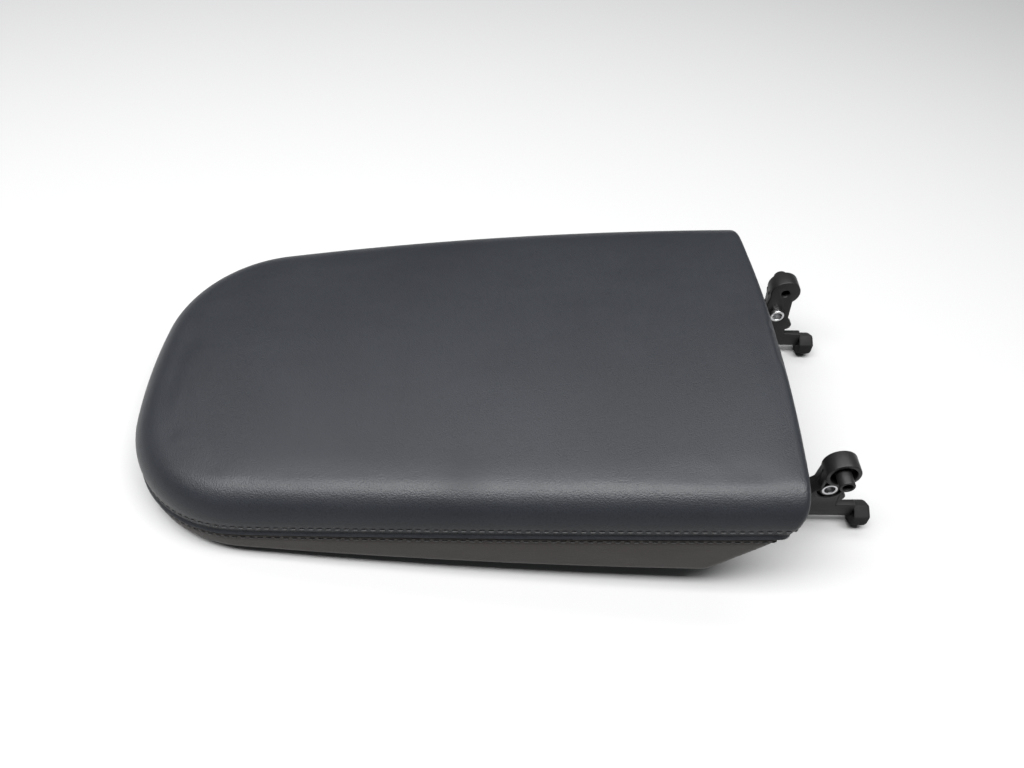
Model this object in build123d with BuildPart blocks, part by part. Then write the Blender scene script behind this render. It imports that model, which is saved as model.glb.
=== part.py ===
"""Centre console armrest: a padded, sewn lid on two moulded hinge arms, with a catch under its front edge.

Millimetres. The origin is the middle of the hinge axis, +X points to the rear, +Y to the right, +Z up.
"""
import os
from math import asin, atan2, cos, degrees, hypot, radians, sin, sqrt, tan

from build123d import *

# Lid: overall form
lid_length = 329.0
rear_half_width = 102.0
front_half_width = 86.8
side_bulge = 3.8
front_arc_radius = 320.0
front_corner_radius = 67.0
rear_height = 57.1
front_height = 32.9
arch_rise = 4.2
crown_rise = 3.0
top_edge_radius = 17.5
rear_edge_radius = 3.6
rear_bow_radius = 1130.0
undercut_run = 37.8
undercut_angle = 44.0
undercut_radius = 32.0
rim_rear_radius = 8.0
seam_drop = 24.0
run_out = 60.0

# Lid: layers from the outside in
cover_thickness = 1.4
foam_side = 3.5
foam_top = 7.0
shell_wall = 2.8
hem_width = 10.0
flange_width = 20.0
flange_thickness = 2.6
liner_thickness = 2.5
liner_gap = 0.3
liner_corner = 9.0

# Where the hinge axis lies from the lid
hinge_behind_lid = 22.5
hinge_above_rim = 33.5

# Hinge arms
arm_from_side = 42.5
web_thickness = 4.0
web_low_length = 44.4
knuckle_radius = 8.5
knuckle_depth = 5.5
knuckle_wall = 2.0
hub_radius = 3.8
hub_length = 12.0
hinge_bore_radius = 2.5
post_rear = 5.6
post_width = 14.5
post_flare = 2.0
neck_angle = 197.5
tab_end = 18.0
tab_top = -33.0
tab_height = 9.4
nub_radius = 3.4
nub_height = -25.5
nub_stand_out = 1.0
bush_x = -1.5
bush_z = -15.5
bush_radius = 4.0
bush_bore_radius = 2.7
bush_stand_out = 2.7
boss_radius = 7.6
boss_height = 2.6
boss_groove = 1.9
boss_rim = 1.4
rib_thickness = 2.4
rib_height = 4.5
foot_length = 74.0
foot_width = 28.0
foot_thickness = 3.0
foot_corner = 5.0
foot_behind_rim = 4.0
gusset_thickness = 2.2
gusset_height = 7.0
gusset_shares = (0.32, 0.68)
spigot_height = 4.0
spigot_length = 5.5

# Rubber stops on the tabs
stop_across_flats = 12.0
stop_length = 9.0
stop_z = -42.2
stop_chamfer = 1.2
stop_turn = 30.0
stop_nub_radius = 1.9
stop_nub_length = 0.8
stop_clearance = 0.05

# Screws
arm_screw_radius = 2.5
arm_screw_length = 16.0
arm_head_radius = 4.8
arm_head_height = 3.0
arm_screw_side = 7.5
arm_screw_shares = (0.15, 0.5, 0.85)
liner_screw_radius = 1.75
liner_screw_length = 12.0
liner_head_radius = 3.6
head_angle = 90.0
front_screw_back = 56.0
front_screw_in = 19.0
middle_screw_back = 148.0
middle_screw_in = 8.7
rear_screw_ahead = 26.2
rear_screw_side = 26.0
screw_clearance = 0.2
pilot_clearance = 0.05
boss_wall = 2.2
screw_tip_room = 1.5

# Catch under the front edge
pocket_behind_front = 25.0
pocket_length = 40.0
pocket_half_width = 30.0
pocket_depth = 15.0
pocket_wall = 2.0
pocket_corner = 4.0
pin_radius = 2.0
pin_behind_front = 48.0
pin_above_rim = 10.5
pin_clearance = 0.05
lever_half_width = 26.0
lever_thickness = 3.0
lever_hub_radius = 3.6
lever_rim_gap = 1.5
hook_reach = 2.6
hook_height = 3.0
hook_tip = 0.9
hook_flank = 2.1
spring_window = 14.0
spring_radius = 3.1
spring_wire_radius = 0.45
spring_turns = 4.25
spring_pitch = 1.6
spring_leg = 6.0
spring_gap = 0.1

# Front buffers
buffer_radius = 6.0
buffer_height = 3.0
buffer_stem_radius = 2.5
buffer_flange = 1.2
buffer_chamfer = 1.8
buffer_clearance = 0.1
buffer_behind_front = 46.0
buffer_from_side = 30.8

# Places worked out from the sizes
rear_x = -hinge_behind_lid
front_x = rear_x - lid_length
rim_z = -hinge_above_rim
rear_top_z = rim_z + rear_height
front_top_z = rim_z + front_height
rim_rear_x = rear_x - undercut_run
liner_top_z = rim_z + liner_thickness
shell_side = cover_thickness + foam_side
shell_top = cover_thickness + foam_top
web_inner = rear_half_width - arm_from_side
web_outer = web_inner + web_thickness
web_middle = web_inner + web_thickness / 2
knuckle_outer = web_outer + knuckle_depth
hub_end = web_outer + hub_length
bush_inner_end = web_inner - bush_stand_out
tab_bottom = tab_top - tab_height
spigot_z = (tab_bottom + stop_z + stop_across_flats / 2) / 2
foot_bottom = rim_z - foot_thickness
foot_rear = rim_rear_x - foot_behind_rim
foot_front = foot_rear - foot_length
pocket_front = front_x + pocket_behind_front
pocket_rear = pocket_front + pocket_length
pocket_ceiling = rim_z + pocket_depth
pin_x = front_x + pin_behind_front
pin_z = rim_z + pin_above_rim
buffer_x = front_x + buffer_behind_front
buffer_side = front_half_width - buffer_from_side
to_front = (Align.MAX, Align.CENTER)
neck = (knuckle_radius * cos(radians(neck_angle)), knuckle_radius * sin(radians(neck_angle)))
arm_bend = (rear_x - knuckle_radius, foot_bottom + foot_thickness / 2)
arm_screw_places = [
    (foot_front + foot_length * share, web_middle + side * arm_screw_side)
    for share, side in zip(arm_screw_shares, (1, -1, 1))
]
liner_screw_places = [
    (front_x + front_screw_back, front_half_width - front_screw_in),
    (front_x + middle_screw_back, front_half_width - middle_screw_in),
    (rim_rear_x - rear_screw_ahead, rear_screw_side),
]


def side_plane(y):
    """An upright plane at this distance to the right, with X across and Z up."""
    return Plane.XZ.offset(-y)


def arch_circle():
    """Centre, radius and lean of the long arch of the top."""
    chord = hypot(lid_length, rear_top_z - front_top_z)
    radius = chord**2 / (8 * arch_rise) + arch_rise / 2
    lean = atan2(rear_top_z - front_top_z, lid_length)
    middle = Vector((rear_x + front_x) / 2, 0, (rear_top_z + front_top_z) / 2)
    centre = middle - Vector(-sin(lean), 0, cos(lean)) * (radius - arch_rise)
    return centre, radius, lean


def plan_outline(inset):
    """Plan of the lid, drawn in by the inset and run on behind the rear edge."""
    corner_x = front_x + front_arc_radius - sqrt(front_arc_radius**2 - front_half_width**2)
    chord = Vector(rear_x - corner_x, rear_half_width - front_half_width)
    side_radius = chord.length**2 / (8 * side_bulge) + side_bulge / 2
    middle = Vector(rear_x + corner_x, rear_half_width + front_half_width) / 2
    side_centre = middle - Vector(-chord.Y, chord.X).normalized() * (side_radius - side_bulge)
    with BuildSketch() as outline:
        with Locations((front_x + front_arc_radius, 0)):
            Circle(front_arc_radius - inset)
        with Locations((side_centre.X, side_centre.Y)):
            Circle(side_radius - inset, mode=Mode.INTERSECT)
        with Locations((side_centre.X, -side_centre.Y)):
            Circle(side_radius - inset, mode=Mode.INTERSECT)
        with Locations((rear_x + run_out, 0)):
            Rectangle(2 * lid_length, 4 * rear_half_width, align=to_front, mode=Mode.INTERSECT)
        fillet(outline.vertices().group_by(Axis.X)[0], radius=front_corner_radius - inset)
    return outline.sketch


def rim_outline(inset):
    """Outline of the level underside, drawn in by the inset, with rounded rear corners."""
    with BuildSketch() as outline:
        add(plan_outline(inset))
        with Locations((rim_rear_x - inset, 0)):
            Rectangle(2 * lid_length, 4 * rear_half_width, align=to_front, mode=Mode.INTERSECT)
        fillet(outline.vertices().group_by(Axis.X)[-1], radius=liner_corner)
    return outline.sketch


def top_block(drop):
    """Everything under the arched and crowned top, lowered by the drop."""
    centre, radius, lean = arch_circle()
    half_turn = asin((lid_length / 2 + 2 * run_out) / radius)
    outward = Vector(sin(-half_turn - lean), 0, cos(-half_turn - lean))
    start = Plane(origin=centre, x_dir=(0, 1, 0), z_dir=(outward.Z, 0, -outward.X))
    crown_radius = rear_half_width**2 / (2 * crown_rise) + crown_rise / 2
    half_width = rear_half_width + run_out / 2
    edge = radius - drop - crown_radius + sqrt(crown_radius**2 - half_width**2)
    bottom = radius - 3 * rear_height - run_out
    with BuildPart() as block:
        with BuildSketch(start):
            with BuildLine():
                ThreePointArc((-half_width, edge), (0, radius - drop), (half_width, edge))
                Polyline((half_width, edge), (half_width, bottom), (-half_width, bottom), (-half_width, edge))
            make_face()
        revolve(axis=Axis(centre, (0, 1, 0)), revolution_arc=2 * degrees(half_turn))
    return block.part


def rear_block(inset, floor_z):
    """Everything above the floor and ahead of the bowed, undercut rear face, drawn in by the inset."""
    axis_x = rear_x - rear_bow_radius
    inner = rear_bow_radius - lid_length - run_out
    half_turn = asin((rear_half_width + run_out / 2) / inner)
    turned = Vector(cos(half_turn), -sin(half_turn), 0)
    start = Plane(origin=(axis_x, 0, 0), x_dir=turned, z_dir=(turned.Y, -turned.X, 0))
    slope = tan(radians(undercut_angle))
    rear = rear_bow_radius - inset
    knee_z = rim_z + slope * (undercut_run - inset + inset / sin(radians(undercut_angle)))
    high_z = rear_top_z + run_out
    with BuildPart() as block:
        with BuildSketch(start) as profile:
            with BuildLine():
                Polyline(
                    (inner, floor_z),
                    (rear - (knee_z - floor_z) / slope, floor_z),
                    (rear, knee_z),
                    (rear, high_z),
                    (inner, high_z),
                    close=True,
                )
            make_face()
            knee = profile.vertices().group_by(Axis.X)[-1].sort_by(Axis.Y)[0]
            fillet(knee, radius=undercut_radius - inset)
            if rim_rear_radius > inset:
                heel = profile.vertices().group_by(Axis.Y)[0].sort_by(Axis.X)[-1]
                fillet(heel, radius=rim_rear_radius - inset)
        revolve(axis=Axis((axis_x, 0, 0), (0, 0, 1)), revolution_arc=2 * degrees(half_turn))
    return block.part


def lid_form(side_inset, top_inset, floor_z):
    """The rounded body of the lid at one layer, from the floor up."""
    with BuildPart() as form:
        with BuildSketch(Plane.XY.offset(rim_z - run_out)):
            add(plan_outline(side_inset))
        extrude(amount=2 * rear_height + run_out)
        add(top_block(top_inset), mode=Mode.INTERSECT)
        top_edges = form.faces().sort_by(Axis.Z)[-1].edges().sort_by(Axis.X)[:-1]
        fillet(top_edges, radius=top_edge_radius - side_inset)
        add(rear_block(side_inset, floor_z), mode=Mode.INTERSECT)
        if rear_edge_radius > side_inset:
            rear_edge = form.faces().sort_by(Axis.Z)[-1].edges().sort_by(Axis.X)[-1]
            fillet(rear_edge, radius=rear_edge_radius - side_inset)
    return form.part


def seam_block():
    """Everything under the seam, which follows the arch of the top."""
    centre, radius, lean = arch_circle()
    reach = lid_length / 2 + run_out
    seam_radius = radius - crown_rise - seam_drop
    with BuildPart() as block:
        with BuildSketch(Plane.XZ):
            with BuildLine():
                turn = asin(reach / seam_radius)
                points = [
                    (centre.X + seam_radius * sin(a - lean), centre.Z + seam_radius * cos(a - lean))
                    for a in (-turn, 0, turn)
                ]
                ThreePointArc(*points)
                low = rim_z - run_out
                Polyline(points[2], (points[2][0], low), (points[0][0], low), points[0])
            make_face()
        extrude(amount=2 * rear_half_width, both=True)
    return block.part


outer_form = lid_form(0, 0, rim_z)
inner_form = lid_form(cover_thickness, cover_thickness, rim_z + cover_thickness)
shell_form = lid_form(shell_side, shell_top, rim_z + cover_thickness)
cavity_form = lid_form(shell_side + shell_wall, shell_top + shell_wall, rim_z)
under_seam = seam_block()

# Sewn cover: top panel above the seam, side band below it and turned under the rim
with BuildPart() as top_cover:
    add(outer_form)
    add(inner_form, mode=Mode.SUBTRACT)
    add(under_seam, mode=Mode.SUBTRACT)

with BuildPart() as side_band:
    add(outer_form)
    add(inner_form, mode=Mode.SUBTRACT)
    add(under_seam, mode=Mode.INTERSECT)
    with BuildSketch(Plane.XY.offset(rim_z)):
        add(rim_outline(hem_width))
    extrude(amount=cover_thickness, mode=Mode.SUBTRACT)

# Foam between the cover and the moulded shell
with BuildPart() as foam_pad:
    add(inner_form)
    add(shell_form, mode=Mode.SUBTRACT)

# Inward flange round the rim and screw bosses, trimmed to the shell's form
with BuildPart() as shell_fittings:
    with BuildSketch(Plane.XY.offset(rim_z + cover_thickness)):
        add(plan_outline(shell_side))
        add(rim_outline(hem_width), mode=Mode.SUBTRACT)
    extrude(amount=liner_thickness - cover_thickness + flange_thickness)
    with BuildSketch(Plane.XY.offset(liner_top_z)):
        add(rim_outline(hem_width - liner_gap))
        add(rim_outline(flange_width), mode=Mode.SUBTRACT)
    extrude(amount=flange_thickness)
    with BuildSketch(Plane.XY.offset(liner_top_z)):
        for side in (1, -1):
            with Locations(*[(x, side * y) for x, y in arm_screw_places]):
                Circle(arm_screw_radius + boss_wall)
            with Locations(*[(x, side * y) for x, y in liner_screw_places]):
                Circle(liner_screw_radius + boss_wall)
    extrude(amount=2 * rear_height)
    add(shell_form, mode=Mode.INTERSECT)

# Moulded shell with its walls, flange and bosses
with BuildPart() as lid_shell:
    add(shell_form)
    add(cavity_form, mode=Mode.SUBTRACT)
    add(shell_fittings.part)
    with BuildSketch(Plane.XY.offset(rim_z)):
        add(rim_outline(hem_width))
    extrude(amount=liner_thickness, mode=Mode.SUBTRACT)
    with BuildSketch(Plane.XY.offset(liner_top_z)):
        for side in (1, -1):
            with Locations(*[(x, side * y) for x, y in arm_screw_places]):
                Circle(arm_screw_radius + pilot_clearance)
    extrude(amount=arm_screw_length - foot_thickness - liner_thickness + screw_tip_room, mode=Mode.SUBTRACT)
    with BuildSketch(Plane.XY.offset(liner_top_z)):
        for side in (1, -1):
            with Locations(*[(x, side * y) for x, y in liner_screw_places]):
                Circle(liner_screw_radius + pilot_clearance)
    extrude(amount=liner_screw_length - liner_thickness + screw_tip_room, mode=Mode.SUBTRACT)

# Closing panel of the underside, with the pocket of the catch
with BuildPart() as liner_panel:
    with BuildSketch(Plane.XY.offset(rim_z)):
        add(rim_outline(hem_width + liner_gap))
    extrude(amount=liner_thickness)
    pocket_middle = (pocket_front + pocket_rear) / 2
    with BuildSketch(Plane.XY.offset(rim_z)):
        with Locations((pocket_middle, 0)):
            RectangleRounded(
                pocket_length + 2 * pocket_wall,
                2 * (pocket_half_width + pocket_wall),
                pocket_corner + pocket_wall,
            )
    extrude(amount=pocket_depth + pocket_wall)
    with BuildSketch(Plane.XY.offset(rim_z)):
        with Locations((pocket_middle, 0)):
            RectangleRounded(pocket_length, 2 * pocket_half_width, pocket_corner)
    extrude(amount=pocket_depth, mode=Mode.SUBTRACT)
    with BuildSketch(Plane.XZ):
        with Locations((pin_x, pin_z)):
            Circle(pin_radius + pin_clearance)
    extrude(amount=pocket_half_width + 2 * pocket_wall, both=True, mode=Mode.SUBTRACT)
    with BuildSketch(Plane.XY.offset(rim_z)):
        for side in (1, -1):
            with Locations(*[(x, side * y) for x, y in arm_screw_places]):
                Circle(arm_screw_radius + screw_clearance)
            with Locations((buffer_x, side * buffer_side)):
                Circle(buffer_stem_radius + buffer_clearance)
    extrude(amount=liner_thickness, mode=Mode.SUBTRACT)
    with Locations(Plane.XY.offset(rim_z).rotated((180, 0, 0))):
        with Locations(*[(x, side * y) for x, y in liner_screw_places for side in (1, -1)]):
            CounterSinkHole(
                liner_screw_radius + screw_clearance,
                liner_head_radius + screw_clearance,
                depth=liner_thickness,
                counter_sink_angle=head_angle,
            )

# Hinge arm: foot under the lid, web, post with a cup knuckle and hub, tail tab with the stop's seat
with BuildPart() as hinge_arm_right:
    with BuildSketch(side_plane(web_inner)) as web:
        with BuildLine():
            Polyline(
                (tab_end, tab_bottom),
                (tab_end, tab_top),
                (post_rear + post_flare, tab_top),
                (post_rear, -knuckle_radius / 2),
                neck,
                (post_rear - post_width, bush_z + bush_radius),
                arm_bend,
                (foot_rear, foot_bottom),
                (foot_front, foot_bottom),
                (foot_front, foot_bottom - foot_thickness),
                (foot_front + web_low_length, tab_bottom),
                close=True,
            )
        make_face()
        fillet(web.vertices().sort_by_distance(arm_bend)[0], radius=2 * knuckle_radius)
        with Locations((0, 0)):
            Circle(knuckle_radius)
        with Locations((post_rear + nub_stand_out, nub_height)):
            Circle(nub_radius)
        with Locations((bush_x, bush_z)):
            Circle(boss_radius)
    extrude(amount=-web_thickness)
    with BuildSketch(side_plane(web_outer)):
        Circle(knuckle_radius)
        Circle(knuckle_radius - knuckle_wall, mode=Mode.SUBTRACT)
    extrude(amount=-(knuckle_outer - web_outer))
    with BuildSketch(side_plane(web_outer)):
        Circle(hub_radius)
    extrude(amount=-(hub_end - web_outer))
    with BuildSketch(side_plane(web_outer)):
        with Locations((bush_x, bush_z)):
            Circle(boss_radius)
            Circle(boss_radius - boss_rim, mode=Mode.SUBTRACT)
            Circle(boss_radius - boss_rim - boss_groove)
    extrude(amount=-boss_height)
    with BuildSketch(side_plane(web_outer)):
        with BuildLine():
            Polyline(
                (-knuckle_radius, 0),
                (rib_thickness - knuckle_radius, 0),
                (post_rear - post_width + rib_thickness, bush_z + bush_radius),
                (rear_x - knuckle_radius + rib_thickness, foot_bottom),
                (rear_x - knuckle_radius, foot_bottom),
                (post_rear - post_width + rib_thickness / 2, bush_z + bush_radius),
                close=True,
            )
        make_face()
    extrude(amount=-rib_height)
    with BuildSketch(Plane.XY.offset(foot_bottom)):
        with Locations(((foot_front + foot_rear) / 2, web_middle)):
            RectangleRounded(foot_length, foot_width, foot_corner)
        with Locations(*arm_screw_places):
            Circle(arm_screw_radius + screw_clearance, mode=Mode.SUBTRACT)
    extrude(amount=foot_thickness)
    for share in gusset_shares:
        gusset_x = foot_front + foot_length * share
        with BuildSketch(Plane.YZ.offset(gusset_x)):
            with BuildLine():
                Polyline(
                    (web_middle - foot_width / 2 + foot_corner, foot_bottom),
                    (web_middle + foot_width / 2 - foot_corner, foot_bottom),
                    (web_outer, foot_bottom - gusset_height * share),
                    (web_inner, foot_bottom - gusset_height * share),
                    close=True,
                )
            make_face()
        extrude(amount=gusset_thickness / 2, both=True)
    with BuildSketch(Plane.YZ.offset(tab_end)):
        with Locations((web_middle, spigot_z)):
            Rectangle(web_thickness, spigot_height)
    extrude(amount=spigot_length)
    with BuildSketch(side_plane(hub_end)):
        Circle(hinge_bore_radius)
    extrude(amount=hub_end - web_inner, mode=Mode.SUBTRACT)
    with BuildSketch(side_plane(web_inner)):
        with Locations((bush_x, bush_z)):
            Circle(bush_radius)
    extrude(amount=-(web_thickness + boss_height), mode=Mode.SUBTRACT)

with BuildPart() as hinge_arm_left:
    add(mirror(hinge_arm_right.part, about=Plane.XZ, mode=Mode.PRIVATE))

# Steel bushes pressed into the webs, standing out on the inner side
with BuildPart() as link_bush_right:
    with BuildSketch(side_plane(bush_inner_end)):
        with Locations((bush_x, bush_z)):
            Circle(bush_radius)
            Circle(bush_bore_radius, mode=Mode.SUBTRACT)
    extrude(amount=-(web_outer + boss_height - bush_inner_end))

with BuildPart() as link_bush_left:
    add(mirror(link_bush_right.part, about=Plane.XZ, mode=Mode.PRIVATE))

# Rubber stops pushed on the spigots of the tabs
with BuildPart() as stop_bumper_right:
    with BuildSketch(Plane.YZ.offset(tab_end)):
        with Locations((web_middle, stop_z)):
            RegularPolygon(stop_across_flats / 2, 6, major_radius=False, rotation=stop_turn)
    extrude(amount=stop_length)
    chamfer(stop_bumper_right.faces().sort_by(Axis.X)[-1].edges(), length=stop_chamfer)
    with BuildSketch(Plane.YZ.offset(tab_end + stop_length / 2)):
        with Locations((web_middle, stop_z - stop_across_flats / 2)):
            Circle(stop_nub_radius)
    extrude(amount=stop_length / 2 + stop_nub_length)
    with BuildSketch(Plane.YZ.offset(tab_end)):
        with Locations((web_middle, spigot_z)):
            Rectangle(web_thickness + 2 * stop_clearance, spigot_height + 2 * stop_clearance)
    extrude(amount=spigot_length + stop_clearance, mode=Mode.SUBTRACT)

with BuildPart() as stop_bumper_left:
    add(mirror(stop_bumper_right.part, about=Plane.XZ, mode=Mode.PRIVATE))

# Screws of the arms, three on each side, heads under the feet
with BuildPart() as arm_screws_right:
    with BuildSketch(Plane.XY.offset(foot_bottom)):
        with Locations(*arm_screw_places):
            Circle(arm_head_radius)
    extrude(amount=-arm_head_height)
    fillet(arm_screws_right.faces().group_by(Axis.Z)[0].edges(), radius=arm_head_height / 2)
    with BuildSketch(Plane.XY.offset(foot_bottom)):
        with Locations(*arm_screw_places):
            Circle(arm_screw_radius)
    extrude(amount=arm_screw_length)

with BuildPart() as arm_screws_left:
    add(mirror(arm_screws_right.part, about=Plane.XZ, mode=Mode.PRIVATE))

# Countersunk screws of the closing panel
with BuildPart() as liner_screws:
    standing = (Align.CENTER, Align.CENTER, Align.MIN)
    with Locations(*[(x, side * y, rim_z) for x, y in liner_screw_places for side in (1, -1)]):
        Cone(liner_head_radius, liner_screw_radius, liner_head_radius - liner_screw_radius, align=standing)
        Cylinder(liner_screw_radius, liner_screw_length, align=standing)

# Catch: lever with finger lip and hook, its pin and its torsion spring
with BuildPart() as latch_lever:
    lever_bottom = rim_z + lever_rim_gap
    lever_front = pin_x - lever_thickness / 2
    lever_rear = pin_x + lever_thickness / 2
    with BuildSketch(Plane.XZ):
        with Locations((pin_x, pin_z)):
            Circle(lever_hub_radius)
        with Locations((pin_x, lever_bottom)):
            Rectangle(lever_thickness, pin_z - lever_bottom, align=(Align.CENTER, Align.MIN))
        with Locations((lever_front, lever_bottom + lever_thickness / 2)):
            Circle(lever_thickness / 2)
    extrude(amount=lever_half_width, both=True)
    with BuildSketch(Plane.XZ):
        with BuildLine():
            Polyline(
                (lever_rear, lever_bottom),
                (lever_rear + hook_tip, lever_bottom),
                (lever_rear + hook_reach, lever_bottom + hook_flank),
                (lever_rear + hook_reach, lever_bottom + hook_height),
                (lever_rear, lever_bottom + hook_height),
                close=True,
            )
        make_face()
    extrude(amount=lever_half_width / 2, both=True)
    window_height = lever_hub_radius + spring_wire_radius
    with Locations((pin_x, 0, pin_z)):
        Box(4 * lever_hub_radius, spring_window, 2 * window_height, mode=Mode.SUBTRACT)
    with BuildSketch(Plane.XZ):
        with Locations((pin_x, pin_z)):
            Circle(pin_radius + pin_clearance)
    extrude(amount=lever_half_width, both=True, mode=Mode.SUBTRACT)

with BuildPart() as latch_pin:
    with BuildSketch(Plane.XZ):
        with Locations((pin_x, pin_z)):
            Circle(pin_radius)
    extrude(amount=pocket_half_width + pocket_wall, both=True)

with BuildPart() as latch_spring:
    coil_length = spring_turns * spring_pitch
    with BuildLine():
        coil_start = (pin_x, -coil_length / 2, pin_z)
        coil = Helix(spring_pitch, coil_length, spring_radius, coil_start, (0, 1, 0), lefthand=True)
    with BuildSketch(Plane(origin=coil @ 0, z_dir=coil % 0)):
        Circle(spring_wire_radius)
    sweep(path=coil)
    ceiling_rest = Vector(pin_x + spring_leg, (coil @ 0).Y, pocket_ceiling - spring_wire_radius - spring_gap)
    lever_rest = Vector(lever_front - spring_wire_radius - spring_gap, (coil @ 1).Y, pin_z - spring_leg)
    for start, end in ((coil @ 0, ceiling_rest), (coil @ 1, lever_rest)):
        with BuildSketch(Plane(origin=start, z_dir=end - start)):
            Circle(spring_wire_radius)
        extrude(amount=(end - start).length)

# Rubber buffers pushed into the panel near the front corners
with BuildPart() as front_buffer_right:
    with BuildSketch(Plane.XZ.offset(-buffer_side)):
        with BuildLine():
            Polyline(
                (buffer_x, rim_z - buffer_height),
                (buffer_x + buffer_radius - buffer_chamfer, rim_z - buffer_height),
                (buffer_x + buffer_radius, rim_z - buffer_height / 2),
                (buffer_x + buffer_radius, rim_z),
                (buffer_x + buffer_stem_radius, rim_z),
                (buffer_x + buffer_stem_radius, liner_top_z),
                (buffer_x + buffer_stem_radius + buffer_flange, liner_top_z),
                (buffer_x + buffer_stem_radius, liner_top_z + 2 * buffer_flange),
                (buffer_x, liner_top_z + 2 * buffer_flange),
                close=True,
            )
        make_face()
    revolve(axis=Axis((buffer_x, buffer_side, 0), (0, 0, 1)))

with BuildPart() as front_buffer_left:
    add(mirror(front_buffer_right.part, about=Plane.XZ, mode=Mode.PRIVATE))

pieces = {
    "top_cover": top_cover,
    "side_band": side_band,
    "foam_pad": foam_pad,
    "lid_shell": lid_shell,
    "liner_panel": liner_panel,
    "hinge_arm_left": hinge_arm_left,
    "hinge_arm_right": hinge_arm_right,
    "link_bush_left": link_bush_left,
    "link_bush_right": link_bush_right,
    "stop_bumper_left": stop_bumper_left,
    "stop_bumper_right": stop_bumper_right,
    "arm_screws_left": arm_screws_left,
    "arm_screws_right": arm_screws_right,
    "liner_screws": liner_screws,
    "latch_lever": latch_lever,
    "latch_pin": latch_pin,
    "latch_spring": latch_spring,
    "front_buffer_left": front_buffer_left,
    "front_buffer_right": front_buffer_right,
}
os.makedirs("parts", exist_ok=True)
for name, piece in pieces.items():
    piece.part.label = name
    export_step(piece.part, f"parts/{name}.step")
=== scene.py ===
"""Dresses the centre console armrest: sewn cover, stitching, hinge arms, catch, underside and stage."""
import math

import bmesh
import bpy
import numpy as np
from mathutils import Matrix, Quaternion, Vector
from mathutils.bvhtree import BVHTree
from mathutils.kdtree import KDTree


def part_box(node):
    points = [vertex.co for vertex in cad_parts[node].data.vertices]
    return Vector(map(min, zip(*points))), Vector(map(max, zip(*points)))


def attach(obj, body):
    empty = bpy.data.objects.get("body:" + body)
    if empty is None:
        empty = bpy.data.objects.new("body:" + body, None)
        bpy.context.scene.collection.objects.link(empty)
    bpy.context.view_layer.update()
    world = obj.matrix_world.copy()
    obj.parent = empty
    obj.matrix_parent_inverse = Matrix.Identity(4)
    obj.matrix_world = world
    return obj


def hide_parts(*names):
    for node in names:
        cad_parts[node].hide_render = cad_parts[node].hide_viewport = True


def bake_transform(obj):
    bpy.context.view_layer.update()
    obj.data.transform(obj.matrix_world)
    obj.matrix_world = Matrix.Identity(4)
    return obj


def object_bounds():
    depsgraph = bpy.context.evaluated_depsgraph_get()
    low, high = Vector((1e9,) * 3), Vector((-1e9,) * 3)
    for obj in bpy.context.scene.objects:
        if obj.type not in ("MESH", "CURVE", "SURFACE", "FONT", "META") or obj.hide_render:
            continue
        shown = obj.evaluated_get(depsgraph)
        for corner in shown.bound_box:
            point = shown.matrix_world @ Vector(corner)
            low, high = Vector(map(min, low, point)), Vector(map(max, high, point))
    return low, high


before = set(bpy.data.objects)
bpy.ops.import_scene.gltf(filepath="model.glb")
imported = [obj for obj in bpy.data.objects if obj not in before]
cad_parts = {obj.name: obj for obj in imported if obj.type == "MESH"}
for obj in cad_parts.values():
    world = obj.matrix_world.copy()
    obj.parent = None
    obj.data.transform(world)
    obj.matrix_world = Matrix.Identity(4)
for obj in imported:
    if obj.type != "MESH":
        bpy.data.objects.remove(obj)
cad_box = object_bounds()

bl_info = {
    "name": "Console armrest",
    "version": (1, 0, 0),
    "blender": (4, 5, 0),
    "location": "3D View > Sidebar > Armrest",
    "description": "Dresses a packed console armrest with its sewn cover, fittings and stage",
    "category": "Object",
}

MM = 0.001
LID_BODY = "lid"
LATCH_BODY = "latch"
CUT_REACH = 0.02 * MM
MERGE_REACH = 0.002 * MM
SMOOTH_ANGLE = math.radians(32)
DUST_COLOUR = (0.42, 0.42, 0.4)
SCREW_EDGE = 0.15 * MM
# Reach, width and depth of the cross recess in a screw's head
ARM_RECESS = (2.3 * MM, 0.9 * MM, 1.5 * MM)
LINER_RECESS = (1.9 * MM, 0.7 * MM, 1.1 * MM)


# Selection and mesh helpers

def make_active(piece):
    """Leaves this piece alone selected and active."""
    bpy.ops.object.select_all(action="DESELECT")
    piece.select_set(True)
    bpy.context.view_layer.objects.active = piece


def mesh_edit(piece, *steps):
    """Runs edit mode steps on the whole of a piece's mesh."""
    make_active(piece)
    bpy.ops.object.mode_set(mode="EDIT")
    for step in steps:
        bpy.ops.mesh.select_all(action="SELECT")
        step()
    bpy.ops.object.mode_set(mode="OBJECT")


def points_of(mesh):
    """A mesh's points as an array."""
    points = np.zeros(len(mesh.vertices) * 3, np.float32)
    mesh.vertices.foreach_get("co", points)
    return points.reshape(-1, 3).astype(float)


def normals_of(mesh):
    """A mesh's vertex normals as an array."""
    normals = np.zeros(len(mesh.vertices) * 3, np.float32)
    mesh.vertex_normals.foreach_get("vector", normals)
    return normals.reshape(-1, 3).astype(float)


def edge_ends(mesh):
    """The two points of each edge, as two arrays of indices."""
    ends = np.zeros(len(mesh.edges) * 2, np.int32)
    mesh.edges.foreach_get("vertices", ends)
    return ends.reshape(-1, 2).T


def set_points(mesh, points):
    """Moves a mesh's points to these places."""
    mesh.vertices.foreach_set("co", np.asarray(points, np.float32).ravel())
    mesh.update()


def linked_parts(items, beside):
    """Sorts a mesh's faces or points into the parts that hang together."""
    unseen = set(items)
    parts = []
    while unseen:
        part, front = [], [unseen.pop()]
        while front:
            item = front.pop()
            part.append(item)
            for other in beside(item):
                if other in unseen:
                    unseen.remove(other)
                    front.append(other)
        parts.append(part)
    return parts


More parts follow.
